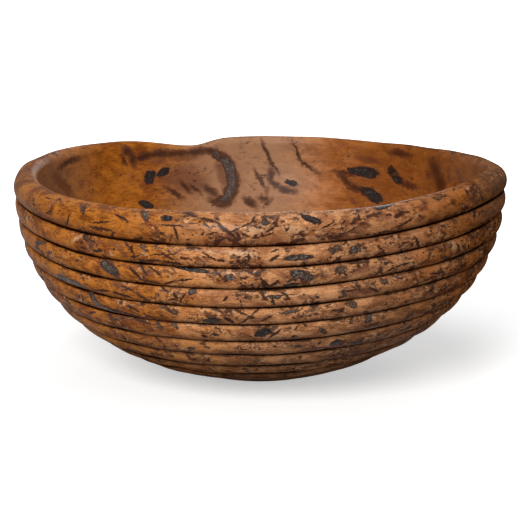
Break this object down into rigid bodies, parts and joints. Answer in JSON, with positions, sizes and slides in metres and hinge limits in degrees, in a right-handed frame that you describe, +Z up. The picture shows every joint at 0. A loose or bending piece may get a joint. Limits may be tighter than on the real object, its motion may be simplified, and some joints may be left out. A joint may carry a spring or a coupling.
{
  "type": "burl wood bowl",
  "caption": "Deep round bowl turned from one burl, with a rolled rim, beaded sides, a plain hollow, a flat foot and polished bark inclusions.",
  "frame": {"origin": "middle of the flat foot", "axes": "+Z up out of the hollow, -Y towards the side that the picture shows, +X to its right"},
  "size_m": [0.36, 0.36, 0.1557],
  "materials": {
    "burl_wood": "waxed and polished burl, honey brown to red brown with dark flecks, soft sheen",
    "bark_slate": "polished bark filling, slate blue-grey, glossy",
    "bark_dark": "polished bark filling, near black with a green cast, glossy"
  },
  "bodies": {
    "root": {"bowl_body": "burl_wood", "bark_rim_slash": "bark_slate", "bark_rim_oval": "bark_dark", "bark_rim_dot": "bark_slate", "bark_rim_streak": "bark_dark", "bark_rim_crest": "bark_dark", "bark_bead1_bar": "bark_slate", "bark_bead1_spot": "bark_slate", "bark_bead2_left": "bark_slate", "bark_bead2_streak": "bark_dark", "bark_bead2_oval": "bark_slate", "bark_bead2_mottle": "bark_slate", "bark_bead2_lobe": "bark_dark", "bark_bead3_left": "bark_slate", "bark_bead3_spot": "bark_slate", "bark_bead3_lens": "bark_slate", "bark_bead4_hook": "bark_slate", "bark_bead4_bar": "bark_dark", "bark_bead5_patch": "bark_dark", "bark_bead5_spot": "bark_slate", "bark_bead6_patch": "bark_dark", "bark_hollow_crescent": "bark_slate", "bark_hollow_left_lower": "bark_dark", "bark_hollow_left_upper": "bark_dark", "bark_hollow_left_low": "bark_dark", "bark_hollow_centre": "bark_dark", "bark_hollow_right_bar": "bark_dark", "bark_hollow_right_hook": "bark_dark", "bark_hollow_right_low": "bark_dark"}
  },
  "joints": []
}
